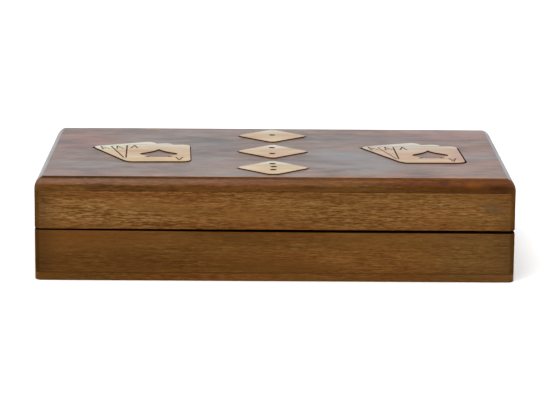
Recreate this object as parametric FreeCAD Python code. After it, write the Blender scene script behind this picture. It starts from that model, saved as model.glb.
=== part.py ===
import FreeCAD, Part
import os
from math import sin, cos, radians, degrees, sqrt, atan2

V = FreeCAD.Vector

# ---------------------------------------------------------------------------
# Wooden card and dice box: a hinged box with two deck wells and a dice
# channel, and light wood inlays let into the lid.
# Millimetres. Origin on the table under the middle of the box, +X to the
# right, +Y to the back (hinge side), +Z up.
# ---------------------------------------------------------------------------

# outside
LID_W = 180.2          # lid, left to right
LID_D = 108.8          # lid, front to back
BASE_W = 180.2         # the base is flush with the lid
BASE_D = 108.8
TOTAL_H = 39.4         # to the lid's wooden top face
CORNER_R = 2.6         # upright corners

# base
BOTTOM_T = 3.15        # bottom panel
WALL_T = 9.0
RIM_Z = 19.0           # base rim at the back
RIM_FRONT_L = 19.30    # the front rim is not quite true: it dips to the right
RIM_FRONT_M = 18.84
RIM_FRONT_R = 18.76
DIVIDER_T = 7.0
DICE_CHANNEL_W = 17.0
DADO_DEPTH = 3.0
DIVIDER_TOP = 18.3
NOTCH_W = 30.0         # finger notch in each divider
NOTCH_DEPTH = 10.5

# lid
LID_RIM_Z = 19.83
PANEL_T = 5.3          # top panel
EDGE_R = 4.8           # rounded edge of the top panel, all the way round
EDGE_PLANED = 0.35     # planed off the top after rounding, which leaves an arris
BOTTOM_EASE = 0.3
EASE = 0.3

# inlays
INLAY_T = 1.5
INLAY_PROUD = 0.4
FAN_GAP = 0.4          # room around a fan in its pocket
DICE_GAP = 0.2
POCKET_R = 0.4         # some corners of the pockets are cut sharp
CARD_R = 3.0
DICE_R = 2.0
GROOVE_DEPTH = 0.3
PIP_R = 1.35
PIP_DEPTH = 0.5

# hinges
HINGE_X = 52.0
LEAF_L = 25.0
LEAF_T = 1.0
LEAF_IN_Y = 47.2       # the leaf's inner edge
KNUCKLE_R = 1.8
PIN_R = 0.9
PIN_CLEAR = 0.05
PIN_Y = 56.5
PIN_Z = 20.2
KNUCKLES = 5
KNUCKLE_GAP = 0.12
SCREW_Y = 50.8
SCREW_DX = 8.4
SCREW_HEAD_R = 1.9
SCREW_R = 1.0
SCREW_L = 8.0

os.makedirs("parts", exist_ok=True)
TOP = TOTAL_H
INLAY_TOP = TOP + INLAY_PROUD
POCKET_Z = INLAY_TOP - INLAY_T
PANEL_Z = TOP - PANEL_T


# ---------------------------------------------------------------------------
# helpers
# ---------------------------------------------------------------------------
def box(x0, y0, z0, x1, y1, z1):
    return Part.makeBox(x1 - x0, y1 - y0, z1 - z0, V(x0, y0, z0))


def prism(pts, z0, z1):
    w = Part.makePolygon([V(x, y, z0) for x, y in pts] + [V(pts[0][0], pts[0][1], z0)])
    return Part.Face(w).extrude(V(0, 0, z1 - z0))


def rounded_wire(x0, y0, x1, y1, r, z):
    k = r * (1 - sqrt(0.5))
    e = []
    e.append(Part.LineSegment(V(x0 + r, y0, z), V(x1 - r, y0, z)))
    e.append(Part.Arc(V(x1 - r, y0, z), V(x1 - k, y0 + k, z), V(x1, y0 + r, z)))
    e.append(Part.LineSegment(V(x1, y0 + r, z), V(x1, y1 - r, z)))
    e.append(Part.Arc(V(x1, y1 - r, z), V(x1 - k, y1 - k, z), V(x1 - r, y1, z)))
    e.append(Part.LineSegment(V(x1 - r, y1, z), V(x0 + r, y1, z)))
    e.append(Part.Arc(V(x0 + r, y1, z), V(x0 + k, y1 - k, z), V(x0, y1 - r, z)))
    e.append(Part.LineSegment(V(x0, y1 - r, z), V(x0, y0 + r, z)))
    e.append(Part.Arc(V(x0, y0 + r, z), V(x0 + k, y0 + k, z), V(x0 + r, y0, z)))
    return Part.Wire([g.toShape() for g in e])


def rounded_prism(x0, y0, x1, y1, r, z0, z1):
    return Part.Face(rounded_wire(x0, y0, x1, y1, r, z0)).extrude(V(0, 0, z1 - z0))


def place(shape, angle, x, y):
    s = shape.copy()
    s.rotate(V(0, 0, 0), V(0, 0, 1), angle)
    s.translate(V(x, y, 0))
    return s


def fuse_all(shapes):
    s = shapes[0]
    for t in shapes[1:]:
        s = s.fuse(t)
    return s.removeSplitter()


def one_solid(shape):
    if len(shape.Solids) != 1:
        raise ValueError("expected one solid, got %d" % len(shape.Solids))
    return shape.Solids[0]


def eased(shape, pick, r):
    """Round the edges that pick(edge) chooses."""
    edges = [e for e in shape.Edges if pick(e)]
    return shape.makeFillet(r, edges)


def save(name, shape):
    if not shape.isValid():
        raise ValueError(name + " is not valid")
    shape.exportStep("parts/%s.step" % name)
    bb = shape.BoundBox
    print("%-26s solids %d  vol %9.2f  z %6.2f to %6.2f" %
          (name, len(shape.Solids), shape.Volume, bb.ZMin, bb.ZMax))


# ---------------------------------------------------------------------------
# screws of the hinges (countersunk wood screws)
# ---------------------------------------------------------------------------
def screw(x, y, z, up):
    """Head flush at z; the shank runs down, or up when up is true."""
    cone_h = SCREW_HEAD_R - SCREW_R
    body_l = SCREW_L - cone_h - 1.6
    head = Part.makeCone(SCREW_HEAD_R, SCREW_R, cone_h, V(0, 0, 0), V(0, 0, -1))
    shank = Part.makeCylinder(SCREW_R, body_l, V(0, 0, -cone_h), V(0, 0, -1))
    tip = Part.makeCone(SCREW_R, 0.12, 1.6, V(0, 0, -cone_h - body_l), V(0, 0, -1))
    s = head.fuse(shank).fuse(tip).removeSplitter()
    whole = s.copy()
    slot = box(-2.5, -0.22, -0.45, 2.5, 0.22, 1.0)
    slot.rotate(V(0, 0, 0), V(0, 0, 1), 25 + 40 * (x * 0.37 % 3))
    s = s.cut(slot)
    out = []
    for q in (s, whole):
        q = q.copy()
        if up:
            q.rotate(V(0, 0, 0), V(1, 0, 0), 180)
        q.translate(V(x, y, z))
        out.append(q)
    return out


base_leaf_top = RIM_Z + LEAF_T
lid_leaf_low = 2 * PIN_Z - base_leaf_top
lid_leaf_top = lid_leaf_low + LEAF_T

base_screws, base_screw_bodies, lid_screws, lid_screw_bodies = [], [], [], []
for hx in (-HINGE_X, HINGE_X):
    for dx in (-SCREW_DX, 0, SCREW_DX):
        a, b = screw(hx + dx, SCREW_Y, base_leaf_top, False)
        base_screws.append(one_solid(a))
        base_screw_bodies.append(b)
        a, b = screw(hx + dx, SCREW_Y, lid_leaf_low, True)
        lid_screws.append(one_solid(a))
        lid_screw_bodies.append(b)


# ---------------------------------------------------------------------------
# base
# ---------------------------------------------------------------------------
BX, BY = BASE_W / 2, BASE_D / 2
IX, IY = BX - WALL_T, BY - WALL_T

outline = rounded_prism(-BX, -BY, BX, BY, CORNER_R, 0, 40)

bottom = rounded_prism(-BX, -BY, BX, BY, CORNER_R, 0, BOTTOM_T)
bottom = eased(bottom, lambda e: abs(e.BoundBox.ZMax) < 1e-6, BOTTOM_EASE)
save("base_bottom_panel", one_solid(bottom))


def arched_cut():
    """What is above the front rim: its lower face follows the rim's line."""
    arc = Part.Arc(V(-BX - 1, 0, RIM_FRONT_L), V(14, 0, RIM_FRONT_M), V(BX + 1, 0, RIM_FRONT_R)).toShape()
    a, b = V(-BX - 1, 0, RIM_FRONT_L), V(BX + 1, 0, RIM_FRONT_R)
    c, d = V(BX + 1, 0, 45), V(-BX - 1, 0, 45)
    w = Part.Wire([arc, Part.makeLine(b, c), Part.makeLine(c, d), Part.makeLine(d, a)])
    s = Part.Face(w).extrude(V(0, WALL_T + 2, 0))
    s.translate(V(0, -BY - 1, 0))
    return s


def side_cut(zf):
    """Above a side rim, which runs straight from the front rim to the back."""
    pts = [V(0, -BY - 1, zf), V(0, BY + 1, RIM_Z), V(0, BY + 1, 45), V(0, -BY - 1, 45), V(0, -BY - 1, zf)]
    return Part.Face(Part.makePolygon(pts)).extrude(V(WALL_T + 2, 0, 0))


def dado(x):
    """Housing of a divider in the front and back walls."""
    x0, x1 = x - DIVIDER_T / 2, x + DIVIDER_T / 2
    return (box(x0, -IY - DADO_DEPTH, BOTTOM_T, x1, -IY, 40),
            box(x0, IY, BOTTOM_T, x1, IY + DADO_DEPTH, 40))


DIV_X = DICE_CHANNEL_W / 2 + DIVIDER_T / 2
dado_l, dado_r = dado(-DIV_X), dado(DIV_X)


def outer_top_edge(e, front_y=None):
    """Edges of the outside arris at the top of a base wall."""
    bb = e.BoundBox
    if bb.ZMin < RIM_FRONT_R - 0.15 or bb.ZMax - bb.ZMin > 0.62:
        return False
    m = e.valueAt((e.FirstParameter + e.LastParameter) / 2)
    return (abs(abs(m.x) - BX) < CORNER_R * 0.32 and abs(m.y) <= BY) or \
           (abs(abs(m.y) - BY) < CORNER_R * 0.32 and abs(m.x) <= BX)


front = prism([(-BX, -BY), (BX, -BY), (IX, -IY), (-IX, -IY)], BOTTOM_T, 30).common(outline)
front = front.cut(arched_cut()).cut(dado_l[0]).cut(dado_r[0])
front = eased(front, outer_top_edge, EASE)
save("base_front_wall", one_solid(front))

back = prism([(-BX, BY), (-IX, IY), (IX, IY), (BX, BY)], BOTTOM_T, RIM_Z).common(outline)
back = back.cut(dado_l[1]).cut(dado_r[1])
back = eased(back, outer_top_edge, EASE)
for b in base_screw_bodies:
    back = back.cut(b)
save("base_back_wall", one_solid(back))

left = prism([(-BX, -BY), (-IX, -IY), (-IX, IY), (-BX, BY)], BOTTOM_T, 30).common(outline)
c = side_cut(RIM_FRONT_L)
c.translate(V(-BX - 1, 0, 0))
left = eased(left.cut(c), outer_top_edge, EASE)
save("base_left_wall", one_solid(left))

right = prism([(BX, -BY), (BX, BY), (IX, IY), (IX, -IY)], BOTTOM_T, 30).common(outline)
c = side_cut(RIM_FRONT_R)
c.translate(V(IX - 1, 0, 0))
right = eased(right.cut(c), outer_top_edge, EASE)
save("base_right_wall", one_solid(right))


def divider(x):
    d = box(x - DIVIDER_T / 2, -IY - DADO_DEPTH, BOTTOM_T, x + DIVIDER_T / 2, IY + DADO_DEPTH, DIVIDER_TOP)
    # finger notch: a shallow arc with rounded shoulders
    h, w = NOTCH_DEPTH, NOTCH_W / 2
    r = (w * w + h * h) / (2 * h)
    cyl = Part.makeCylinder(r, DIVIDER_T + 2, V(x - DIVIDER_T / 2 - 1, 0, DIVIDER_TOP - h + r), V(1, 0, 0))
    d = one_solid(d.cut(cyl))
    sh = [e for e in d.Edges if abs(e.BoundBox.ZMin - DIVIDER_TOP) < 1e-4 and e.BoundBox.XLength > DIVIDER_T - 0.1
          and abs(abs(e.BoundBox.YMin) - w) < 0.1]
    d = d.makeFillet(3.0, sh)
    along = [e for e in d.Edges if abs(e.BoundBox.ZMin - DIVIDER_TOP) < 1e-4 and e.BoundBox.YLength > 20
             and e.BoundBox.XLength < 0.01]
    run = []
    for e in d.Edges:
        bb = e.BoundBox
        if bb.XLength < 1e-4 and bb.ZMin > DIVIDER_TOP - h - 0.1 and abs(abs(bb.XMin - x) - DIVIDER_T / 2) < 1e-4:
            if bb.ZLength < 1e-4 and abs(bb.ZMin - DIVIDER_TOP) > 1e-4:
                continue
            if bb.YLength < 1e-4:
                continue
            run.append(e)
    d = d.makeFillet(0.6, run)
    return one_solid(d)


save("divider_left", divider(-DIV_X))
save("divider_right", divider(DIV_X))


# ---------------------------------------------------------------------------
# lid
# ---------------------------------------------------------------------------
LX, LY = LID_W / 2, LID_D / 2
JX, JY = LX - WALL_T, LY - WALL_T
lid_outline = rounded_prism(-LX, -LY, LX, LY, CORNER_R, 10, 45)


def lid_low_edge(e):
    bb = e.BoundBox
    if abs(bb.ZMax - LID_RIM_Z) > 1e-4 or abs(bb.ZMin - LID_RIM_Z) > 1e-4:
        return False
    m = e.valueAt((e.FirstParameter + e.LastParameter) / 2)
    return abs(abs(m.x) - LX) < CORNER_R * 0.32 or abs(abs(m.y) - LY) < CORNER_R * 0.32


walls = {
    "lid_front_wall": [(-LX, -LY), (LX, -LY), (JX, -JY), (-JX, -JY)],
    "lid_back_wall": [(-LX, LY), (-JX, JY), (JX, JY), (LX, LY)],
    "lid_left_wall": [(-LX, -LY), (-JX, -JY), (-JX, JY), (-LX, LY)],
    "lid_right_wall": [(LX, -LY), (LX, LY), (JX, JY), (JX, -JY)],
}
for name, pts in walls.items():
    w = prism(pts, LID_RIM_Z, PANEL_Z).common(lid_outline)
    w = eased(one_solid(w), lid_low_edge, EASE)
    if name == "lid_back_wall":
        for hx in (-HINGE_X, HINGE_X):
            # one deep housing takes the thickness of both closed leaves
            w = w.cut(box(hx - LEAF_L / 2 - 0.3, LEAF_IN_Y - 0.3, 15, hx + LEAF_L / 2 + 0.3, LY + 1, lid_leaf_top))
        for b in lid_screw_bodies:
            w = w.cut(b)
    save(name, one_solid(w))


# --- top panel: its edge is rounded over, its top is planed down a little, which
# leaves an arris where the round starts, then it gets the pockets for the inlays
panel = rounded_prism(-LX, -LY, LX, LY, CORNER_R, PANEL_Z, TOP + EDGE_PLANED)
panel = eased(panel, lambda e: abs(e.BoundBox.ZMin - TOP - EDGE_PLANED) < 1e-4, EDGE_R)
panel = one_solid(panel.common(box(-LX - 1, -LY - 1, PANEL_Z - 1, LX + 1, LY + 1, TOP)))


# ---------------------------------------------------------------------------
# inlays
# ---------------------------------------------------------------------------
# Each fan is one piece, cut to the outline of three fanned cards, with the
# cards' edges and their corner letters engraved. One card is
# (corner x, corner y, angle, width, height); the corner is its lower left.
# "lines" shifts the engraved left edges of the middle and front cards and
# "line_width" is the width of the middle one;
# "pocket_extra" is more room beside the front card on its right.
FANS = {
    "left": {
        "back": (-57.0, -23.7, 26.2, 25.4, 34.5),
        "middle": (-56.4, -24.45, 14.9, 24.6, 34.4),
        "front": (-57.6, -23.85, 2.15, 25.1, 34.8),
        "spade": (-45.1, -14.45, 2.15, 1.0),
        "lines": (0.0, 0.15),
        "line_width": 0.6,
        "pocket_extra": 0.0,
    },
    "right": {
        "back": (49.4, -23.05, 25.6, 24.6, 35.7),
        "middle": (50.15, -23.85, 14.9, 24.6, 34.7),
        "front": (49.0, -23.25, 2.15, 24.65, 34.0),
        "spade": (61.2, -13.75, 2.15, 0.965),
        "lines": (-0.55, -0.55),
        "line_width": 0.45,
        "pocket_extra": 0.45,
    },
}


def corners_prism(x0, y0, x1, y1, radii, z0, z1):
    """A block with a radius for each upright corner: (x0 y0), (x1 y0), (x1 y1), (x0 y1)."""
    s = box(x0, y0, z0, x1, y1, z1)
    for (x, y), r in zip(((x0, y0), (x1, y0), (x1, y1), (x0, y1)), radii):
        up = [e for e in s.Edges if e.BoundBox.ZLength > 1e-3 and
              abs(e.BoundBox.XMin - x) < 1e-5 and abs(e.BoundBox.YMin - y) < 1e-5]
        s = s.makeFillet(r, up)
    return s


def card(c, grow, radii, z0, z1):
    x, y, a, w, h = c
    if not isinstance(radii, tuple):
        radii = (radii,) * 4
    return place(corners_prism(-grow, -grow, w + grow, h + grow, radii, z0, z1), a, x, y)


# the opening for the spade, its foot on the x axis: the right side from the
# tip down to the stem, the curve of the foot, then straight to the base line
OPENING = ([(0.0, 16.6), (0.9, 14.6), (2.4, 12.3), (4.3, 10.3), (6.1, 8.7), (7.1, 7.5), (7.4, 6.3),
            (6.7, 4.6), (5.4, 3.2), (3.9, 2.4)],
           [(3.9, 2.4), (4.4, 1.7), (5.3, 1.2)], 0.0)
# the spade left standing in it, with the fan's room all round
ISLAND = ([(0.0, 15.55), (0.87, 13.83), (1.89, 12.3), (3.1, 10.91), (4.45, 9.63), (5.85, 8.38), (6.92, 6.88),
           (6.58, 5.14), (5.38, 3.7), (3.35, 2.55)],
          [(3.35, 2.55), (4.05, 1.45), (4.9, 0.83)], FAN_GAP)


def spade(outline, x, y, a, k, z0, z1):
    side, foot, base = outline

    def P(u, v, s):
        return V(s * u * k, v, z0)
    edges = []
    for s in (1, -1):
        bs = Part.BSplineCurve()
        bs.interpolate([P(u, v, s) for u, v in side])
        edges.append(bs.toShape())
        m = [P(u, v, s) for u, v in foot]
        edges.append(Part.Arc(m[0], m[1], m[2]).toShape())
        edges.append(Part.makeLine(m[2], P(foot[2][0], base, s)))
    edges.append(Part.makeLine(P(foot[2][0], base, 1), P(foot[2][0], base, -1)))
    w = Part.Wire(Part.__sortEdges__(edges))
    return place(Part.Face(w).extrude(V(0, 0, z1 - z0)), a, x, y)


def stroke(p, q, width, z0, z1):
    """A straight engraved line with round ends."""
    d = V(q[0] - p[0], q[1] - p[1], 0)
    n = d.Length
    s = rounded_prism(-width / 2, -width / 2, n + width / 2, width / 2, width / 2 - 0.001, z0, z1)
    return place(s, degrees(atan2(d.y, d.x)), p[0], p[1])


G0, G1 = INLAY_TOP - GROOVE_DEPTH, INLAY_TOP + 1


def letter(w, h, t):
    """Corner letter, centred on the origin."""
    s = [stroke((-w / 2, -h / 2), (0, h / 2), t, G0, G1),
         stroke((w / 2, -h / 2), (0, h / 2), t, G0, G1),
         stroke((-w * 0.31, -h * 0.16), (w * 0.31, -h * 0.16), t + 0.1, G0, G1),
         stroke((-w / 2 - 0.45, -h / 2), (-w / 2 + 0.5, -h / 2), t, G0, G1),
         stroke((w / 2 - 0.5, -h / 2), (w / 2 + 0.45, -h / 2), t, G0, G1)]
    return fuse_all(s)


def on_card(c, u, v):
    x, y, a, w, h = c
    ca, sa = cos(radians(a)), sin(radians(a))
    return (x + u * ca - v * sa, y + u * sa + v * ca)


for side, fan in FANS.items():
    cards = [fan["back"], fan["middle"], fan["front"]]
    body = fuse_all([card(c, 0, CARD_R, POCKET_Z, INLAY_TOP) for c in cards])
    sx, sy, sa, sk = fan["spade"]
    body = body.cut(spade(OPENING, sx, sy, sa, sk, POCKET_Z - 1, INLAY_TOP + 1))
    bk, md, fr = cards
    lm, lf = fan["lines"]
    cut = []
    # left edges of the middle and front cards, stopped short of the corner
    cut.append(stroke(on_card(md, lm, 8.6), on_card(md, lm, md[4] - 1.6), fan["line_width"], G0, G1))
    cut.append(stroke(on_card(fr, lf, 7.6), on_card(fr, lf, fr[4] - 1.7), 0.6, G0, G1))
    # the dot where the tool started
    d = on_card(md, lm + 0.1, md[4] - 1.6)
    cut.append(Part.makeCylinder(0.45, 2, V(d[0], d[1], G0)))
    # top edges of the front and middle cards, where they cross the next card
    cut.append(stroke(on_card(fr, 0.3, fr[4] - 0.9), on_card(fr, 1.6, fr[4] - 0.1), 0.4, G0, G1))
    cut.append(stroke(on_card(fr, 1.6, fr[4] - 0.1), on_card(fr, 17.6, fr[4] - 0.1), 0.4, G0, G1))
    cut.append(stroke(on_card(md, 0.2, md[4] - 1.4), on_card(md, 1.5, md[4] - 0.1), 0.35, G0, G1))
    cut.append(stroke(on_card(md, 1.5, md[4] - 0.1), on_card(md, 15.2, md[4] - 0.1), 0.35, G0, G1))
    # corner letters
    for c, du, dv in ((bk, 2.9, 4.2), (md, 2.5, 3.9), (fr, 3.1, 4.0)):
        u, v = on_card(c, du, c[4] - dv)
        cut.append(place(letter(2.6, 5.9, 0.5), c[2], u, v))
    u, v = on_card(fr, fr[3] - 4.3, 5.2)
    cut.append(place(letter(2.6, 5.9, 0.5), fr[2] + 180, u, v))
    for s in cut:
        body = body.cut(s)
    save("fan_inlay_" + side, one_solid(body.removeSplitter()))
    # pocket: the same outline with a little room, and an island for the spade
    wide = (fr[0], fr[1], fr[2], fr[3] + fan["pocket_extra"], fr[4])
    pr = CARD_R + FAN_GAP
    pocket = fuse_all([card(bk, FAN_GAP, (pr, pr, pr, POCKET_R), POCKET_Z, TOP + 5),
                       card(md, FAN_GAP, pr, POCKET_Z, TOP + 5),
                       card(wide, FAN_GAP, pr, POCKET_Z, TOP + 5)])
    island = spade(ISLAND, sx, sy, sa, sk, POCKET_Z - 1, TOP + 6)
    panel = panel.cut(pocket.cut(island))

# Dice faces: squares set cornerwise, with drilled pips. The last number is the
# radius of the corner that points to the front.
DICE = {
    "one": (-0.8, 33.45, 20.0, [(-0.85, 35.0)], 2.0),
    "two": (-0.8, -0.95, 20.0, [(-1.05, 6.55), (-0.95, -5.95)], 2.0),
    "three": (-0.8, -34.75, 19.6, [(-0.95, -26.95), (-0.5, -32.95), (-0.7, -38.95)], 4.0),
}
for name, (x, y, side, pips, front_r) in DICE.items():
    h, g = side / 2, side / 2 + DICE_GAP
    body = place(corners_prism(-h, -h, h, h, (front_r, DICE_R, DICE_R, DICE_R), POCKET_Z, INLAY_TOP), 45, x, y)
    for px, py in pips:
        body = body.cut(Part.makeCylinder(PIP_R, 3, V(px, py, INLAY_TOP - PIP_DEPTH)))
    save("dice_inlay_" + name, one_solid(body))
    # pocket: sharp in the corners that point left and right
    radii = (front_r + DICE_GAP, POCKET_R, DICE_R + DICE_GAP, POCKET_R)
    panel = panel.cut(place(corners_prism(-g, -g, g, g, radii, POCKET_Z, TOP + 5), 45, x, y))

save("lid_top_panel", one_solid(panel))


# ---------------------------------------------------------------------------
# hinges
# ---------------------------------------------------------------------------
def knuckle_spans(lid):
    """x spans of the knuckles of one leaf, from the hinge's middle."""
    n = LEAF_L / KNUCKLES
    out = []
    for i in range(KNUCKLES):
        if (i % 2 == 1) == lid:
            a, b = -LEAF_L / 2 + i * n, -LEAF_L / 2 + (i + 1) * n
            if i > 0:
                a += KNUCKLE_GAP / 2
            if i < KNUCKLES - 1:
                b -= KNUCKLE_GAP / 2
            out.append((a, b))
    return out


def leaf(hx, lid):
    z0, z1 = (lid_leaf_low, lid_leaf_top) if lid else (RIM_Z, base_leaf_top)
    plate = rounded_prism(hx - LEAF_L / 2, LEAF_IN_Y, hx + LEAF_L / 2, PIN_Y, 0.8, z0, z1)
    # clear the whole knuckle line, then add this leaf's own knuckles
    plate = plate.cut(Part.makeCylinder(KNUCKLE_R + 0.15, LEAF_L + 2, V(hx - LEAF_L / 2 - 1, PIN_Y, PIN_Z), V(1, 0, 0)))
    plate = plate.common(box(hx - 50, 0, 0, hx + 50, PIN_Y - 0.6, 60))
    parts = [plate]
    for a, b in knuckle_spans(lid):
        parts.append(Part.makeCylinder(KNUCKLE_R, b - a, V(hx + a, PIN_Y, PIN_Z), V(1, 0, 0)))
        parts.append(box(hx + a, LEAF_IN_Y + 4, z0, hx + b, PIN_Y - 0.9, z1))
    s = parts[0]
    for q in parts[1:]:
        s = s.fuse(q)
    bore = PIN_R + (PIN_CLEAR if lid else 0.0)
    s = s.cut(Part.makeCylinder(bore, LEAF_L + 2, V(hx - LEAF_L / 2 - 1, PIN_Y, PIN_Z), V(1, 0, 0)))
    s = s.removeSplitter()
    for b in (lid_screw_bodies if lid else base_screw_bodies):
        s = s.cut(b)
    return one_solid(s)


for name, hx in (("left", -HINGE_X), ("right", HINGE_X)):
    save("hinge_%s_base_leaf" % name, leaf(hx, False))
    save("hinge_%s_lid_leaf" % name, leaf(hx, True))
    pin = Part.makeCylinder(PIN_R, LEAF_L + 0.6, V(hx - LEAF_L / 2 - 0.3, PIN_Y, PIN_Z), V(1, 0, 0))
    pin = pin.makeFillet(0.3, [e for e in pin.Edges if e.BoundBox.XLength < 1e-4])
    save("hinge_%s_pin" % name, one_solid(pin))

save("hinge_screws_base", Part.makeCompound(base_screws))
save("hinge_screws_lid", Part.makeCompound(lid_screws))
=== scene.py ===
from math import radians, sin, cos
import bpy
from mathutils import Matrix, Vector

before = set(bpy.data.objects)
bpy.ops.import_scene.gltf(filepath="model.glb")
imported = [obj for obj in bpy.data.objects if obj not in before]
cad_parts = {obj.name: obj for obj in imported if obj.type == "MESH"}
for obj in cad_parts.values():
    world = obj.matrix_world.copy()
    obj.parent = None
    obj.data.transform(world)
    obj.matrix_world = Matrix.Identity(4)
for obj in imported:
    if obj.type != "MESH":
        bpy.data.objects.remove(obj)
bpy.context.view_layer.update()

sc = bpy.context.scene

# heights of the box in millimetres, used by the finishes
TOP, PANEL_Z, LID_RIM, BASE_RIM, BOTTOM_T = 39.4, 34.1, 19.83, 19.0, 3.15
INLAY_TOP = 39.8
HALF_W, HALF_D, EDGE_IN = 90.1, 54.4, 3.0


# ---------------------------------------------------------------------------
# node helpers
# ---------------------------------------------------------------------------
class Tree:
    """Short calls that add shader nodes and link them."""

    def __init__(self, name):
        self.mat = bpy.data.materials.new(name)
        self.mat.use_nodes = True
        self.nt = self.mat.node_tree
        self.bsdf = self.nt.nodes["Principled BSDF"]
        self._co = None
        self._mm = None

    def node(self, kind, ins=None, **props):
        n = self.nt.nodes.new(kind)
        for k, v in props.items():
            setattr(n, k, v)
        for k, v in (ins or {}).items():
            self.put(n.inputs[k], v)
        return n

    def put(self, socket, v):
        if isinstance(v, bpy.types.NodeSocket):
            self.nt.links.new(v, socket)
        elif v is not None:
            if hasattr(socket.default_value, "__len__") and not hasattr(v, "__len__"):
                v = (v,) * len(socket.default_value)
            if hasattr(v, "__len__") and len(v) == 3 and len(socket.default_value) == 4:
                v = tuple(v) + (1.0,)
            socket.default_value = v

    def m(self, op, a, b=None, c=None, clamp=False):
        n = self.node("ShaderNodeMath", operation=op, use_clamp=clamp)
        for i, v in enumerate((a, b, c)):
            if v is not None:
                self.put(n.inputs[i], v)
        return n.outputs[0]

    def add(self, a, b): return self.m("ADD", a, b)
    def sub(self, a, b): return self.m("SUBTRACT", a, b)
    def mul(self, a, b): return self.m("MULTIPLY", a, b)
    def mx(self, a, b): return self.m("MAXIMUM", a, b)
    def mn(self, a, b): return self.m("MINIMUM", a, b)

    def object_mm(self):
        """The surface point in millimetres, as it lies on the closed box."""
        if self._mm is None:
            tc = self.node("ShaderNodeTexCoord")
            self._co = tc
            self._mm = self.node("ShaderNodeVectorMath", {0: tc.outputs["Object"], 1: (1000.0,) * 3},
                                 operation="MULTIPLY").outputs[0]
            self._xyz = self.node("ShaderNodeSeparateXYZ", {0: self._mm})
            self._nrm = self.node("ShaderNodeSeparateXYZ", {0: tc.outputs["Normal"]})
        return self._mm

    @property
    def x(self): self.object_mm(); return self._xyz.outputs[0]
    @property
    def y(self): self.object_mm(); return self._xyz.outputs[1]
    @property
    def z(self): self.object_mm(); return self._xyz.outputs[2]
    @property
    def nx(self): self.object_mm(); return self._nrm.outputs[0]
    @property
    def ny(self): self.object_mm(); return self._nrm.outputs[1]
    @property
    def nz(self): self.object_mm(); return self._nrm.outputs[2]

    def step(self, v, lo, hi):
        """0 below lo, 1 above hi, smooth between; the other way round if lo > hi."""
        n = self.node("ShaderNodeMapRange", {0: v, 1: min(lo, hi), 2: max(lo, hi),
                                             3: 0.0 if lo < hi else 1.0, 4: 1.0 if lo < hi else 0.0},
                      interpolation_type="SMOOTHSTEP", clamp=True)
        return n.outputs[0]

    def band(self, v, mid, half, soft):
        """1 within half of mid, fading to 0 over soft."""
        d = self.m("ABSOLUTE", self.sub(v, mid))
        return self.step(d, half + soft, half)

    def scaled(self, vec, scale, offset=(0, 0, 0)):
        return self.node("ShaderNodeMapping", {"Vector": vec, "Location": offset, "Scale": scale}).outputs[0]

    def noise(self, vec, detail=2.0, rough=0.5, scale=1.0, distortion=0.0):
        n = self.node("ShaderNodeTexNoise", {"Vector": vec, "Scale": scale, "Detail": detail,
                                             "Roughness": rough, "Distortion": distortion},
                      noise_dimensions="3D", normalize=True)
        return n.outputs["Fac"]

    def remap(self, v, a, b, c, d, clamp=True):
        return self.node("ShaderNodeMapRange", {0: v, 1: a, 2: b, 3: c, 4: d}, clamp=clamp).outputs[0]

    def mix(self, fac, a, b, blend="MIX"):
        n = self.node("ShaderNodeMix", data_type="RGBA", blend_type=blend, clamp_factor=True)
        self.put(n.inputs[0], fac)
        self.put(n.inputs[6], a)
        self.put(n.inputs[7], b)
        return n.outputs[2]

    def ramp(self, fac, stops):
        n = self.node("ShaderNodeValToRGB", {0: fac})
        el = n.color_ramp.elements
        while len(el) < len(stops):
            el.new(0.5)
        for e, (p, c) in zip(el, stops):
            e.position = p
            e.color = tuple(c) + (1.0,)
        return n.outputs[0]

    def spot(self, cx, cy, cz, rx, ry, rz, wobble=0.35, seed=0.0):
        """A soft blotch round a point, with an uneven rim."""
        d = self.node("ShaderNodeVectorMath", {0: self.object_mm(), 1: (cx, cy, cz)}, operation="SUBTRACT").outputs[0]
        d = self.scaled(d, (1 / rx, 1 / ry, 1 / rz))
        ln = self.node("ShaderNodeVectorMath", {0: d}, operation="LENGTH").outputs["Value"]
        n = self.noise(self.scaled(self.object_mm(), (0.12, 0.5, 0.5), (seed, 3.1, 7.7)), 2, 0.6)
        ln = self.add(ln, self.mul(self.sub(n, 0.5), wobble * 2))
        return self.step(ln, 1.15, 0.35)

    def bump(self, height, strength, distance=0.0001):
        n = self.node("ShaderNodeBump", {"Height": height, "Strength": strength, "Distance": distance})
        self.nt.links.new(n.outputs[0], self.bsdf.inputs["Normal"])


def grain_space(t, axis, seed):
    """Object space with the grain along x, shifted so that every board is cut from another place."""
    p = t.object_mm()
    if axis == "Y":
        s = t.node("ShaderNodeSeparateXYZ", {0: p})
        p = t.node("ShaderNodeCombineXYZ", {0: s.outputs[1], 1: s.outputs[0], 2: s.outputs[2]}).outputs[0]
    off = (137.0 * (seed * 0.618 % 1.0) + 40.0 * seed, 71.0 * (seed * 0.371 % 1.0), 53.0 * (seed * 0.737 % 1.0))
    p = t.node("ShaderNodeVectorMath", {0: p, 1: off}, operation="ADD").outputs[0]
    # the fibres wander a little
    w = t.node("ShaderNodeTexNoise", {"Vector": t.scaled(p, (0.010, 0.04, 0.04)), "Scale": 1.0, "Detail": 1.0},
               noise_dimensions="3D").outputs["Color"]
    w = t.node("ShaderNodeVectorMath", {0: w, 1: (0.5, 0.5, 0.5)}, operation="SUBTRACT").outputs[0]
    w = t.node("ShaderNodeVectorMath", {0: w, 1: (0.0, 1.2, 1.2)}, operation="MULTIPLY").outputs[0]
    return t.node("ShaderNodeVectorMath", {0: p, 1: w}, operation="ADD").outputs[0]


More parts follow.
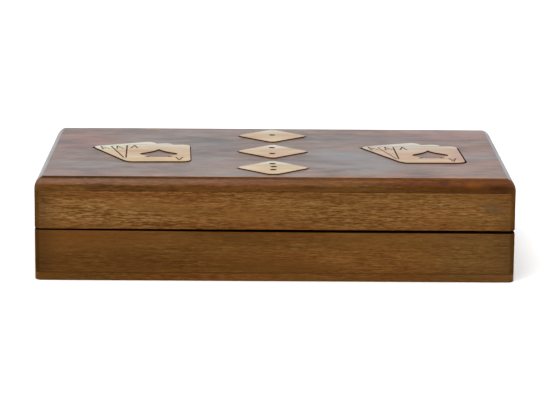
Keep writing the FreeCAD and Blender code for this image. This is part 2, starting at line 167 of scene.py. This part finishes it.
def dark_wood(name, axis, seed, tone, red, streak=1.0, gloss=0.32, spec=0.15, extra=None, drift=0.5):
    """Stained and oiled dark hardwood. tone is the mean colour (linear), red shifts patches towards red-brown."""
    t = Tree(name)
    g = grain_space(t, axis, seed)
    big = t.noise(t.scaled(g, (0.009, 0.050, 0.050)), 2, 0.5)              # broad drift of colour
    bands = t.noise(t.scaled(g, (0.012, 0.26, 0.26)), 3, 0.55)             # growth bands
    fine = t.noise(t.scaled(g, (0.055, 1.85, 1.85)), 4, 0.74)              # streaks of a millimetre
    hair = t.noise(t.scaled(g, (0.32, 3.0, 3.0), (7, 3, 1)), 3, 0.74)       # short fibres
    pore = t.noise(t.scaled(g, (0.26, 1.9, 1.9), (11, 5, 9)), 1, 0.5)      # short dark vessels
    pores = t.step(pore, 0.37, 0.28)
    v = t.add(t.mul(t.sub(big, 0.5), drift), t.mul(t.sub(bands, 0.5), 0.32))
    calm = t.remap(t.noise(t.scaled(g, (0.022, 0.11, 0.11), (13, 2, 23)), 2, 0.5), 0.36, 0.64, 0.50, 1.45)
    calm = t.mul(calm, t.remap(t.m("ABSOLUTE", t.x), 74.0, 88.0, 1.0, 0.6) if axis == "X" else 1.0)
    v = t.add(v, t.mul(t.mul(t.sub(fine, 0.5), 1.12 * streak), calm))
    v = t.add(v, t.mul(t.mul(t.sub(hair, 0.5), 1.75 * streak), calm))
    v = t.add(v, 0.5)
    r, gg, b = tone
    col = t.ramp(v, [(0.05, (r * 0.47, gg * 0.39, b * 0.22)),
                     (0.36, (r * 0.82, gg * 0.78, b * 0.68)),
                     (0.60, (r * 1.12, gg * 1.15, b * 1.24)),
                     (0.95, (r * 1.68, gg * 1.95, b * 2.90))])
    hue = t.noise(t.scaled(g, (0.02, 0.11, 0.11), (3, 17, 29)), 2, 0.5)
    col = t.mix(t.step(hue, 0.42, 0.62), col, t.mix(1.0, col, (1.0 + 0.08 * red, 1.0 - 0.06 * red, 1.0 - 0.05 * red),
                                                   "MULTIPLY"))
    col = t.mix(t.mul(pores, min(0.45 * streak, 0.8)), col, (r * 0.38, gg * 0.30, b * 0.20))
    rough = t.remap(t.add(t.mul(fine, 0.5), t.mul(big, 0.5)), 0.3, 0.7, gloss - 0.05, gloss + 0.07)
    height = t.sub(t.add(t.mul(fine, 0.5), t.mul(hair, 0.35)), t.mul(pores, 0.5))
    t.bsdf.inputs["Specular IOR Level"].default_value = spec
    if extra:
        col, rough = extra(t, col, rough)
    t.put(t.bsdf.inputs["Base Color"], col)
    t.put(t.bsdf.inputs["Roughness"], rough)
    t.bump(height, 0.35, 0.00012)
    return t.mat


def tint(t, col, fac, rgb):
    """Multiplies col by rgb where fac is 1."""
    return t.mix(fac, col, t.mix(1.0, col, rgb, "MULTIPLY"))


def dim(t, col, fac, amount):
    """Darkens col by amount where fac is 1."""
    return t.mix(fac, col, t.mix(1.0, col, (amount, amount * 0.93, amount * 0.85), "MULTIPLY"))


# near-black, for the burnt cut edges of the inlays and for the painted shade in the pockets
BURN_AND_SHADE_BLACK = (0.035, 0.016, 0.008)


def finish_top(t, col, rough):
    """Pockets, rounded edge and glue line of the top panel."""
    ax, ay = t.m("ABSOLUTE", t.x), t.m("ABSOLUTE", t.y)
    drop = t.sub(TOP, t.z)
    flat = t.step(drop, 0.03, 0.01)
    p = t.object_mm()
    # painted sheen: the face is painted paler than the edges, most of all towards the front, and carries a patchy
    # painted sheen
    col = t.mix(flat, col, t.mix(1.0, col, (1.36, 1.32, 1.40), "MULTIPLY"))
    col = t.mix(t.mul(flat, t.step(t.y, 30.0, -45.0)), col, t.mix(1.0, col, (1.22, 1.20, 1.15), "MULTIPLY"))
    cloud = t.noise(t.scaled(p, (0.022, 0.050, 0.050), (9, 4, 2)), 2, 0.55)
    streak_noise = t.noise(t.scaled(p, (0.065, 0.125, 0.125), (2, 8, 5)), 3, 0.62)
    warm = t.noise(t.scaled(p, (0.024, 0.065, 0.065), (21, 14, 5)), 2, 0.55)
    thin = t.noise(t.scaled(p, (0.11, 0.31, 0.31), (6, 1, 15)), 2, 0.6)
    cool = t.mx(t.spot(-25, 4, TOP, 15, 24, 9, 0.3, 11.0), t.mul(t.spot(30, -20, TOP, 28, 26, 9, 0.3, 12.0), 0.8))
    pink = t.mx(t.spot(66, 38, TOP, 38, 10, 9, 0.3, 13.0), t.mul(t.spot(-76, 24, TOP, 18, 26, 9, 0.3, 14.0), 0.8))
    # painted sheen: a thin grey reflection is painted on it in clouds and streaks, bluer in the cool spots
    grey_sheen = t.add(t.mul(t.sub(cloud, 0.5), 1.5), t.mul(t.sub(streak_noise, 0.5), 1.2))
    grey_sheen = t.add(t.add(grey_sheen, t.mul(cool, 0.26)), t.mul(pink, -0.16))
    grey_sheen = t.mn(t.mx(t.add(grey_sheen, 0.15), 0.0), 0.7)
    tone = t.add(t.remap(thin, 0.3, 0.7, 0.72, 1.28, False), t.remap(cloud, 0.3, 0.7, -0.20, 0.20, False))
    tone = t.add(tone, t.remap(streak_noise, 0.3, 0.7, -0.36, 0.36, False))
    col = t.mix(flat, col, t.mix(1.0, col, t.node("ShaderNodeCombineColor", {0: tone, 1: tone, 2: tone}).outputs[0], "MULTIPLY"))
    col = t.mix(t.mul(flat, grey_sheen), col, (0.150, 0.136, 0.130))
    face = t.mul(flat, t.remap(warm, 0.42, 0.66, 0.0, 1.0))
    col = tint(t, col, t.mul(face, 0.8), (1.18, 0.94, 0.80))
    col = tint(t, col, t.mul(flat, cool), (0.90, 0.97, 1.02))
    col = tint(t, col, t.mul(flat, pink), (1.18, 0.94, 0.84))
    col = tint(t, col, t.mul(flat, t.step(t.x, 20.0, 75.0)), (1.13, 0.99, 0.92))
    col = dim(t, col, t.mul(flat, t.mul(t.band(t.add(t.y, t.mul(streak_noise, 3.0)), 28.5, 0.7, 1.2), t.step(t.x, 22.0, 36.0))), 0.70)
    col = dim(t, col, t.mul(flat, t.spot(-72, 37, TOP, 20, 2.0, 9, 0.3, 15.0)), 0.72)
    # painted shade: the walls and floors of the pockets, where the gap round each inlay lies in shade, are painted
    # near-black
    inside = t.mul(t.step(ax, HALF_W - EDGE_IN - 0.5, HALF_W - EDGE_IN - 1), t.step(ay, HALF_D - EDGE_IN - 0.5, HALF_D - EDGE_IN - 1))
    pocket = t.mul(t.step(t.z, TOP - 0.04, TOP - 0.14), inside)
    pocket = t.mul(pocket, t.step(t.z, PANEL_Z + 1.0, PANEL_Z + 1.5))
    col = t.mix(pocket, col, BURN_AND_SHADE_BLACK)
    rough = t.mix(pocket, rough, (0.85,) * 3)
    outer = t.sub(1.0, inside)
    # the arris where the round starts: a painted highlight on top, painted shade just under it, most of all at the
    # left
    lip = t.mul(t.step(ay, HALF_D - EDGE_IN - 3.2, HALF_D - EDGE_IN - 1.2), flat)
    col = tint(t, col, t.mul(lip, 0.6), (1.55, 1.25, 1.0))
    # painted reflection: the upper part of the round at the left and right ends is painted pale grey
    end_round_sheen = t.mul(t.mul(t.step(ax, HALF_W - 3.3, HALF_W - 2.9), t.step(ay, HALF_D - 2.0, HALF_D - 3.6)), t.step(drop, 2.6, 1.2))
    col = t.mix(t.mul(end_round_sheen, 0.75), col, (0.190, 0.160, 0.145))
    crease_shade = t.mul(t.mul(t.step(drop, 0.85, 0.45), t.step(drop, 0.0, 0.03)), t.mul(outer, t.sub(1.0, end_round_sheen)))
    col = dim(t, col, t.mul(crease_shade, t.remap(t.x, -72.0, -15.0, 1.0, 0.30)), 0.50)
    col = tint(t, col, t.mul(crease_shade, t.step(t.x, -40.0, 0.0)), (1.22, 1.0, 0.80))
    # the round is redder, duller at the right-hand end and painted darker there as painted shade; its foot is
    # blotchy, with more painted shade towards the right
    blotch = t.noise(t.scaled(p, (0.055, 0.11, 0.30), (4, 19, 6)), 3, 0.6)
    col = tint(t, col, t.mul(t.step(drop, 0.7, 1.1), t.step(drop, 3.2, 2.4)), (1.35, 1.10, 1.0))
    # painted shade: the round is painted darker towards the right-hand end
    col = dim(t, col, t.mul(t.mul(outer, t.step(drop, 0.3, 0.8)), t.step(t.x, 5.0, 65.0)), 0.70)
    low = t.mul(t.step(drop, 1.4, 2.6), outer)
    col = dim(t, col, t.mul(low, t.mx(t.step(blotch, 0.48, 0.36), t.mul(t.step(t.x, 20.0, 60.0), 0.5))), 0.72)
    col = tint(t, col, t.mul(low, t.step(blotch, 0.54, 0.66)), (1.18, 1.16, 0.85))
    col = tint(t, col, t.spot(74, -54, 36.6, 4.5, 40, 1.7, 0.4, 16.0), (1.45, 1.38, 0.8))
    col = dim(t, col, t.spot(84, -54, 35.8, 5.0, 40, 1.9, 0.4, 17.0), 0.62)
    col = dim(t, col, t.spot(63, -54, 38.0, 2.6, 40, 1.3, 0.3, 18.0), 0.66)
    # the line where the panel is glued over the walls
    col = dim(t, col, t.mul(t.step(t.z, PANEL_Z + 0.45, PANEL_Z + 0.1), outer), 0.78)
    # the round is polished and its foot is dull
    round_ = t.mul(t.step(drop, 3.4, 2.2), t.remap(t.x, -20.0, 45.0, 0.30, 0.10))
    round_ = t.mx(t.mul(round_, t.step(drop, 0.55, 0.95)), t.remap(end_round_sheen, 0.0, 1.0, 0.035, 0.32))
    spec = t.add(t.mul(0.245, flat), t.mul(round_, t.sub(1.0, flat)))
    t.put(t.bsdf.inputs["Specular IOR Level"], spec)
    return col, rough


def corners(t, col):
    """The boards are painted greyer and darker towards the upright corners and darker on their rounded edges, as
    painted shade and grey reflection; the rims are dull.
    """
    ax, ay = t.m("ABSOLUTE", t.x), t.m("ABSOLUTE", t.y)
    near = t.mul(t.step(ax, HALF_W - 11.0, HALF_W - 1.0), t.step(ay, HALF_D - 5.0, HALF_D - 1.6))
    col = tint(t, col, t.mul(near, t.remap(t.x, -85.0, 85.0, 1.0, 0.55)), (0.66, 0.70, 0.80))
    turn = t.step(t.mn(t.m("ABSOLUTE", t.nx), t.m("ABSOLUTE", t.ny)), 0.10, 0.45)
    matt = t.mx(turn, t.step(t.m("ABSOLUTE", t.nz), 0.6, 0.9))
    level = t.bsdf.inputs["Specular IOR Level"]
    t.put(level, t.mix(matt, (level.default_value,) * 3, (0.0,) * 3))
    return dim(t, col, turn, 0.78)


def rim_seam_shade(t):
    """Mask of the painted shade in the seam: 1 at the outer edge of the meeting rims, fading out 4 mm inwards."""
    return t.mx(t.step(t.m("ABSOLUTE", t.x), HALF_W - 4.2, HALF_W - 0.8), t.step(t.m("ABSOLUTE", t.y), HALF_D - 4.2, HALF_D - 0.8))


def finish_lid_wall(t, col, rough):
    col = corners(t, col)
    # darker towards the seam and just under the panel: painted shade, with some real darkening of the wood
    col = dim(t, col, t.step(t.z, LID_RIM + 4.5, LID_RIM + 1.5), 0.88)
    col = dim(t, col, t.step(t.z, PANEL_Z - 3.0, PANEL_Z - 1.2), 0.90)
    # painted highlights: pale bluish lines along the edge under the panel and along the rim
    col = tint(t, col, t.step(t.z, PANEL_Z - 0.45, PANEL_Z - 0.15), (1.12, 1.14, 1.2))
    col = tint(t, col, t.step(t.z, LID_RIM + 0.35, LID_RIM + 0.1), (1.15, 1.2, 1.3))
    # painted shade in the seam: the underside of the lid rim is darkened near its outer edge
    col = dim(t, col, t.mul(t.step(t.nz, -0.6, -0.9), rim_seam_shade(t)), 0.20)
    return col, rough


def finish_lid_front(t, col, rough):
    # paler to the left, browner right of the middle, greyer at the right-hand end
    col = tint(t, col, t.spot(-66, -54, 26, 40, 40, 5.5, 0.3, 1.0), (1.10, 1.14, 1.25))
    col = tint(t, col, t.spot(-18, -54, 27, 34, 40, 5.5, 0.3, 2.0), (1.07, 1.08, 1.10))
    col = tint(t, col, t.spot(24, -54, 27, 26, 40, 8.0, 0.3, 3.0), (0.93, 0.91, 0.86))
    col = tint(t, col, t.spot(81, -54, 28.5, 5, 40, 2.6, 0.3, 4.0), (0.72, 0.82, 1.15))
    return finish_lid_wall(t, col, rough)


def finish_base_wall(t, col, rough):
    col = corners(t, col)
    # painted shade in the seam: the top of the base rim is darkened near its outer edge
    col = dim(t, col, t.mul(t.step(t.nz, 0.75, 0.95), rim_seam_shade(t)), 0.20)
    col = dim(t, col, t.step(t.z, BOTTOM_T + 0.35, BOTTOM_T), 0.6)
    return col, rough


def finish_base_front(t, col, rough):
    col = tint(t, col, t.spot(-62, -54, 7.5, 48, 40, 6.5, 0.3, 1.5), (0.84, 0.80, 0.72))
    col = tint(t, col, t.spot(-7, -54, 17.5, 34, 40, 4.5, 0.3, 2.5), (0.84, 0.80, 0.72))
    col = tint(t, col, t.spot(48, -54, 11, 44, 40, 7.5, 0.3, 3.5), (1.14, 1.16, 1.18))
    col = tint(t, col, t.step(t.x, 45, 75), (0.97, 1.06, 1.35))
    return finish_base_wall(t, col, rough)


def finish_bottom(t, col, rough):
    col = tint(t, col, t.step(t.x, 45, 75), (0.99, 1.10, 1.55))
    col = dim(t, col, t.step(t.z, BOTTOM_T - 0.35, BOTTOM_T), 0.6)
    return col, rough


LID_FRONT = (0.128, 0.057, 0.0128)
BASE_FRONT = (0.096, 0.0400, 0.0070)
LID_TOP = (0.083, 0.036, 0.0075)

mats = {
    "lid_top_panel": dark_wood("top panel wood", "X", 1.3, LID_TOP, 0.8, 1.0, 0.33, 0.2, finish_top),
    "lid_front_wall": dark_wood("lid front wood", "X", 2.7, LID_FRONT, 0.5, 1.3, 0.40, 0.035, finish_lid_front, 0.25),
    "lid_back_wall": dark_wood("lid back wood", "X", 3.9, LID_FRONT, 0.6, 1.3, 0.40, 0.035, finish_lid_wall),
    "lid_left_wall": dark_wood("lid left wood", "Y", 4.4, LID_FRONT, 0.6, 1.3, 0.40, 0.035, finish_lid_wall),
    "lid_right_wall": dark_wood("lid right wood", "Y", 5.8, LID_FRONT, 0.4, 1.3, 0.40, 0.035, finish_lid_wall),
    "base_front_wall": dark_wood("base front wood", "X", 6.2, BASE_FRONT, 0.6, 0.68, 0.40, 0.035, finish_base_front, 0.45),
    "base_back_wall": dark_wood("base back wood", "X", 7.1, BASE_FRONT, 0.6, 0.68, 0.40, 0.035, finish_base_wall),
    "base_left_wall": dark_wood("base left wood", "Y", 8.5, BASE_FRONT, 0.6, 0.68, 0.40, 0.035, finish_base_wall),
    "base_right_wall": dark_wood("base right wood", "Y", 9.6, BASE_FRONT, 0.7, 0.68, 0.40, 0.035, finish_base_wall),
    "base_bottom_panel": dark_wood("bottom panel wood", "X", 10.9, BASE_FRONT, 0.9, 0.8, 0.42, 0.035, finish_bottom),
    "divider_left": dark_wood("left divider wood", "Y", 12.2, LID_FRONT, 0.5, 1.1, 0.42, 0.12),
    "divider_right": dark_wood("right divider wood", "Y", 13.4, LID_FRONT, 0.5, 1.1, 0.42, 0.12),
}


def light_wood(name, seed, near, far, cast, corner=None):
    """Pale close-grained wood with burnt cut edges and engraving, with a painted sheen that makes it whiter and bluer
    at the far edge, and yellower at the near one.
    """
    t = Tree(name)
    g = grain_space(t, "X", seed)
    big = t.noise(t.scaled(g, (0.05, 0.14, 0.14)), 2, 0.5)
    fine = t.noise(t.scaled(g, (0.16, 1.7, 1.7)), 3, 0.6)
    fleck = t.noise(t.scaled(g, (0.5, 3.5, 3.5), (5, 2, 8)), 2, 0.5)
    v = t.add(t.mul(t.sub(big, 0.5), 1.3), t.mul(t.sub(fine, 0.5), 0.5))
    v = t.add(v, t.mul(t.sub(fleck, 0.5), 0.25))
    v = t.add(v, 0.5)
    col = t.ramp(v, [(0.10, (0.315, 0.195, 0.098)), (0.45, (0.385, 0.262, 0.147)), (0.65, (0.43, 0.315, 0.195)), (0.95, (0.49, 0.39, 0.28))])
    pink = t.noise(t.scaled(g, (0.06, 0.12, 0.12), (31, 7, 19)), 1, 0.5)
    col = tint(t, col, t.mul(t.step(pink, 0.46, 0.62), 0.8), (1.03, 0.87, 0.87))
    col = tint(t, col, t.mul(t.step(t.y, near + 0.35 * (far - near), near), 0.8), (1.05, 0.97, 0.74))
    # painted sheen: whiter and bluer towards the far edge
    col = tint(t, col, t.step(t.y, far - 0.34 * (far - near), far - 0.10 * (far - near)), (1.10, 1.42, 1.85))
    if corner:
        col = tint(t, col, t.spot(*corner), (0.82, 0.74, 0.80))
    col = t.mix(1.0, col, cast, "MULTIPLY")
    low = t.step(t.z, INLAY_TOP - 0.03, INLAY_TOP - 0.12)
    floor = t.mul(t.step(t.nz, 0.5, 0.8), t.step(t.z, INLAY_TOP - 0.7, INLAY_TOP - 0.6))
    cut = t.mix(floor, BURN_AND_SHADE_BLACK, (0.065, 0.032, 0.014))
    col = t.mix(low, col, cut)
    rough = t.mix(low, t.remap(fine, 0.3, 0.7, 0.36, 0.46), (0.8,) * 3)
    t.put(t.bsdf.inputs["Base Color"], col)
    t.put(t.bsdf.inputs["Roughness"], rough)
    t.bsdf.inputs["Specular IOR Level"].default_value = 0.2
    t.bump(t.add(t.mul(fine, 0.5), t.mul(fleck, 0.3)), 0.2, 0.0001)
    return t.mat


INLAYS = {"fan_inlay_left": (-24, 13, (0.97, 1.00, 0.96)),
          "fan_inlay_right": (-24, 13, (0.95, 0.92, 0.97), (74, -11, INLAY_TOP, 7, 16, 9, 0.2, 20.0)),
          "dice_inlay_one": (19, 47, (1.0, 1.0, 1.0)),
          "dice_inlay_two": (-15, 13, (0.98, 0.97, 1.0)),
          "dice_inlay_three": (-48, -21, (1.02, 1.09, 1.08))}
for i, (n, look) in enumerate(INLAYS.items()):
    mats[n] = light_wood(n.replace("_", " ") + " wood", 1.7 + 2.3 * i, *look)


def brass(name, seed):
    t = Tree(name)
    p = t.object_mm()
    cloud = t.noise(t.scaled(p, (0.35, 0.35, 0.35), (seed, 0, 0)), 4, 0.6)
    brush = t.noise(t.scaled(p, (0.3, 9.0, 9.0), (0, seed, 0)), 2, 0.6)
    col = t.ramp(t.add(t.mul(cloud, 0.8), t.mul(brush, 0.2)),
                 [(0.30, (0.30, 0.17, 0.05)), (0.50, (0.58, 0.38, 0.13)), (0.70, (0.72, 0.50, 0.20))])
    t.put(t.bsdf.inputs["Base Color"], col)
    t.put(t.bsdf.inputs["Roughness"], t.remap(t.add(t.mul(cloud, 0.6), t.mul(brush, 0.4)), 0.3, 0.7, 0.42, 0.24))
    t.bsdf.inputs["Metallic"].default_value = 1.0
    t.bump(brush, 0.15, 0.00004)
    return t.mat


hinge = brass("hinge brass", 2.0)
screw = brass("screw brass", 9.0)
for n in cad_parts:
    if n.startswith("hinge_screws"):
        mats[n] = screw
    elif n.startswith("hinge_"):
        mats[n] = hinge

for n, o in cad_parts.items():
    o.data.materials.clear()
    o.data.materials.append(mats[n])


# ---------------------------------------------------------------------------
# floor, light, camera
# ---------------------------------------------------------------------------
w = bpy.data.worlds.new("studio")
sc.world = w
w.use_nodes = True
wn = w.node_tree.nodes
wl = w.node_tree.links.new


def world_node(kind, ins=None, **props):
    n = wn.new(kind)
    for k, v in props.items():
        setattr(n, k, v)
    for k, v in (ins or {}).items():
        if isinstance(v, bpy.types.NodeSocket):
            wl(v, n.inputs[k])
        else:
            n.inputs[k].default_value = v
    return n


def world_step(v, lo, hi):
    n = world_node("ShaderNodeMapRange", {0: v, 1: min(lo, hi), 2: max(lo, hi), 3: 0.0 if lo < hi else 1.0,
                                          4: 1.0 if lo < hi else 0.0}, interpolation_type="SMOOTHSTEP", clamp=True)
    return n.outputs[0]


# a dim room in front, pale walls to the sides, a cool pale wall behind the table, a pale ceiling over it
WORLD_ROOM, WORLD_SIDE, WORLD_BACK = (0.34, 0.34, 0.34, 1), (1.25, 1.25, 1.24, 1), (0.79, 0.99, 1.14, 1)
WORLD_OVER = (2.2, 2.2, 2.2, 1)
ray = world_node("ShaderNodeSeparateXYZ", {0: world_node("ShaderNodeTexCoord").outputs["Generated"]})
aside = world_step(world_node("ShaderNodeMath", {0: ray.outputs[0]}, operation="ABSOLUTE").outputs[0], 0.28, 0.60)
behind = world_node("ShaderNodeMath", {0: world_step(ray.outputs[1], 0.25, 0.75), 1: world_step(ray.outputs[2], 0.75, 0.40)},
                    operation="MULTIPLY").outputs[0]
wm = world_node("ShaderNodeMix", data_type="RGBA")
wl(aside, wm.inputs[0])
wm.inputs[6].default_value = WORLD_ROOM
wm.inputs[7].default_value = WORLD_SIDE
wb = world_node("ShaderNodeMix", data_type="RGBA")
wl(behind, wb.inputs[0])
wl(wm.outputs[2], wb.inputs[6])
wb.inputs[7].default_value = WORLD_BACK
over = world_node("ShaderNodeMath", {0: world_step(ray.outputs[2], 0.78, 0.90), 1: world_step(ray.outputs[1], -0.35, -0.05)},
                  operation="MULTIPLY").outputs[0]
wo = world_node("ShaderNodeMix", data_type="RGBA")
wl(over, wo.inputs[0])
wl(wb.outputs[2], wo.inputs[6])
wo.inputs[7].default_value = WORLD_OVER
wl(wo.outputs[2], wn["Background"].inputs[0])
wn["Background"].inputs[1].default_value = 1.0

me = bpy.data.meshes.new("floor")
s = 8.0
me.from_pydata([(-s, -s, 0), (s, -s, 0), (s, s, 0), (-s, s, 0)], [], [(0, 1, 2, 3)])
floor = bpy.data.objects.new("floor", me)
sc.collection.objects.link(floor)
fm = bpy.data.materials.new("floor")
fm.use_nodes = True
fb = fm.node_tree.nodes["Principled BSDF"]
fb.inputs["Base Color"].default_value = (0.97, 0.97, 0.97, 1)
fb.inputs["Roughness"].default_value = 1.0
fb.inputs["Specular IOR Level"].default_value = 0.0
me.materials.append(fm)


def softbox(name, loc, target, size_x, size_y, power, colour=(1, 1, 1)):
    li = bpy.data.lights.new(name, "AREA")
    li.shape = "RECTANGLE"
    li.size, li.size_y = size_x, size_y
    li.energy = power
    li.color = colour
    o = bpy.data.objects.new(name, li)
    sc.collection.objects.link(o)
    o.location = loc
    o.rotation_euler = (Vector(target) - Vector(loc)).to_track_quat("-Z", "Y").to_euler()
    return o


softbox("key softbox", (-0.52, -0.68, 0.95), (-0.45, 0, 0.03), 0.95, 0.72, 8.5, (1.0, 0.96, 0.92))
softbox("fill softbox", (0.52, -0.68, 0.95), (0.45, 0, 0.03), 0.95, 0.72, 2.4)

# camera: the photograph's view, from the front and a little above
F_PX, IMG_W = 2400.0, 550.0
yaw, pitch, roll = 0.00638, 0.20790, -0.00748
fwd = Vector((sin(yaw) * cos(pitch), cos(yaw) * cos(pitch), -sin(pitch)))
right = Vector((cos(yaw), -sin(yaw), 0.0))
down = fwd.cross(right).normalized()
r2 = right * cos(roll) + down * sin(roll)
d2 = -right * sin(roll) + down * cos(roll)
cam_data = bpy.data.cameras.new("camera")
cam = bpy.data.objects.new("camera", cam_data)
sc.collection.objects.link(cam)
cam_data.sensor_width = 36.0
cam_data.lens = 36.0 * F_PX / IMG_W
cam_data.clip_start, cam_data.clip_end = 0.05, 50.0
m = Matrix.Identity(4)
up, back = -d2, -fwd
for i in range(3):
    m[i][0], m[i][1], m[i][2] = r2[i], up[i], back[i]
m[0][3], m[1][3], m[2][3] = -0.005635, -0.931425, 0.213976
cam.matrix_world = m
sc.camera = cam

sc.view_settings.view_transform = "Standard"
